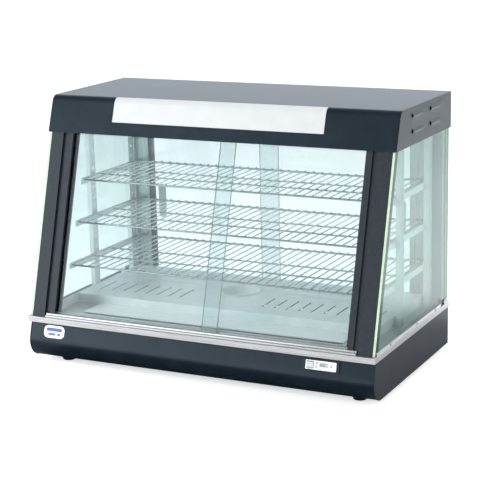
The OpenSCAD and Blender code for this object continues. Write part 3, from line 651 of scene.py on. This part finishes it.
wire_r, rim_r, wire_pitch = 0.0015, 0.0025, 0.0226
weld = 0.0004  # how far a wire sinks into the rim
past, droop = 0.0018, 0.0006  # each wire's ends reach past the rim and turn down
inset = 0.00215  # from the front and back of the shelf's box to the rim's middle
for level in ("top", "middle", "bottom"):
    lo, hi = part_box("shelf_" + level)
    x1, y0, y1 = hi.x - rim_r, lo.y + inset, hi.y - inset
    z_wire = hi.z - wire_r
    z_rim = z_wire - wire_r - rim_r + weld
    count = int((2*x1 - 0.016)/wire_pitch/2)
    wires = [tube(bent_rim(x1, y0, y1, z_rim, 0.010), rim_r, 12, True)]
    wires += [tube([(-x1, y, z_rim), (x1, y, z_rim)], rim_r - 0.0005, 10)
              for y in (y0 + 0.3*(y1 - y0), y0 + 0.55*(y1 - y0))]
    for k in range(-count, count + 1):
        x = k*wire_pitch
        wires.append(tube([(x, y0 - past, z_wire - droop), (x, y0 - past + droop, z_wire),
                           (x, y1 + past - droop, z_wire), (x, y1 + past, z_wire - droop)], wire_r, 8))
    shelf = body_piece("wire_shelf_" + level, joined("wire_shelf_" + level, wires),
                       level + "_shelf", chrome)
    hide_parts("shelf_" + level)

# ---------------------------------------------------------------- glass
# Clear float glass: 6 mm fixed sides with ground green edges, and four 5 mm
# sliding panes with polished grey ones. The pulls are shallow moulded cups stuck
# on the back.
clear, tree = material("clear_float_glass")
# lets the light straight through with a green tint that deepens when seen
# aslant, and mirrors more towards grazing
aslant = add(tree, "LayerWeight", Blend=0.5).outputs["Facing"]
depth = add(tree, "Math", operation="POWER", _0=aslant, _1=1.6).outputs[0]
tint = add(tree, "Mix", data_type="RGBA", _0=depth, _6=linear("#F3F6F6"), _7=linear("#BED7D1"))
film = specks(tree, 90.0, spread(tree), 3.0)
mirror = add(tree, "Math", operation="POWER", _0=aslant, _1=5.0).outputs[0]
mirror = add(tree, "Math", operation="MULTIPLY_ADD", _0=mirror, _1=0.95, _2=0.045).outputs[0]
add(tree, "OutputMaterial", Surface=add(
    tree, "MixShader", _0=mirror,
    _1=add(tree, "BsdfTransparent", Color=tint.outputs[2]).outputs[0],
    _2=add(tree, "BsdfGlossy", Color=linear("#FFFFFF"),
           Roughness=between(tree, film, 0.02, 0.06)).outputs[0]
).outputs[0])
green_edge, tree = material("ground_green_glass_edge")
# a ground edge glows green from light led through the sheet
ground = specks(tree, 3.0, spread(tree))
surface(tree, Base_Color=blended(tree, ground, "#A4C0A2", "#BED2B2"),
        Roughness=between(tree, ground, 0.25, 0.4),
        Emission_Color=linear("#B7D6A4"), Emission_Strength=0.05)

arrissed, tree = material("arrissed_pane_edge")
# the panes' thinner edges are polished, so they look grey
polish = specks(tree, 3.0, spread(tree))
surface(tree, Base_Color=blended(tree, polish, "#8E9A97", "#B3BEBB"),
        Roughness=between(tree, polish, 0.15, 0.3))


def pane(node, name, body, rim):
    """A sheet of glass with its narrow faces in the edge's material: those whose
    normal turns away from the largest face's normal."""
    made = finished(node, name, body, "float_glass", clear, rim, edge=0.0006)
    mesh = made.data
    areas = np.array([p.area for p in mesh.polygons])
    normals = np.array([p.normal for p in mesh.polygons])
    broad = normals[areas.argmax()]
    mesh.polygons.foreach_set("material_index", (np.abs(normals @ broad) < 0.9).astype(np.int32))


for side in ("left", "right"):
    pane("side_glass_" + side, "side_glass_sheet_" + side, "case", green_edge)
    pane("front_pane_" + side, "front_sliding_pane_" + side, "front_%s_pane" % side, arrissed)
    pane("rear_pane_" + side, "back_sliding_pane_" + side, "rear_%s_pane" % side, arrissed)
    finished("rear_pull_" + side, "finger_pull_" + side, "rear_%s_pane" % side, "white_plastic",
             white_abs, edge=0.0008)

# ---------------------------------------------------------------- hood
# A folded painted sheet with a sloped front and a rolled upper edge, closed by
# flat end plates, each with four pressed louvres. Below it is a white panel.
finished("hood_shell", "hood_folded_sheet", "case", "black_powder_coat", paint, edge=0.0006)
for side in ("left", "right"):
    finished("hood_end_" + side, "hood_end_plate_" + side, "case", "black_powder_coat", paint,
             edge=0.0010)

enamel, tree = material("white_stove_enamel")
# white baked enamel, a little uneven in 40 mm clouds
surface(tree, Base_Color=blended(tree, specks(tree, 40.0, spread(tree)), "#DCE2E2", "#EDF0F0"),
        Roughness=between(tree, specks(tree, 2.0, spread(tree)), 0.3, 0.42))
finished("ceiling_panel", "hood_white_underside", "case", "white_enamel", enamel, edge=0.0003)

# ---------------------------------------------------------------- sign and lamp
# A plain opal acrylic panel bent over the hood's rolled edge, whose faint glow
# is painted light for a tube lamp behind it between two sockets; the panes'
# upper tracks hang beside them.
opal, tree = material("opal_acrylic_painted_glow")
# milk-white acrylic, even but for 35 mm clouds, with a faint painted glow
milky = specks(tree, 35.0, spread(tree))
surface(tree, Base_Color=blended(tree, milky, "#BABBBB", "#BFC0C0"), Roughness=0.3,
        Emission_Color=linear("#FFFFFF"), Emission_Strength=0.03)
finished("sign_panel", "opal_sign_panel", "case", "white_acrylic", opal, edge=0.0005)
lamp_glass, tree = material("opal_lamp_glass")
# coated glass tube that glows warm white
surface(tree, Base_Color=blended(tree, specks(tree, 15.0, spread(tree)), "#F3F1E6", "#FFFDF5"),
        Roughness=0.15, Emission_Color=linear("#FFF6E6"), Emission_Strength=9.0)
finished("lamp_tube", "tube_lamp", "case", "lamp_glass", lamp_glass, edge=0.0008)
finished("lamp_holders", "lamp_sockets", "case", "white_plastic", white_abs, edge=0.0006)
for node, name in (("upper_front_track", "upper_front_pane_track"),
                   ("upper_rear_track", "upper_back_pane_track")):
    finished(node, name, "case", "black_anodised", anodised, edge=0.0004)
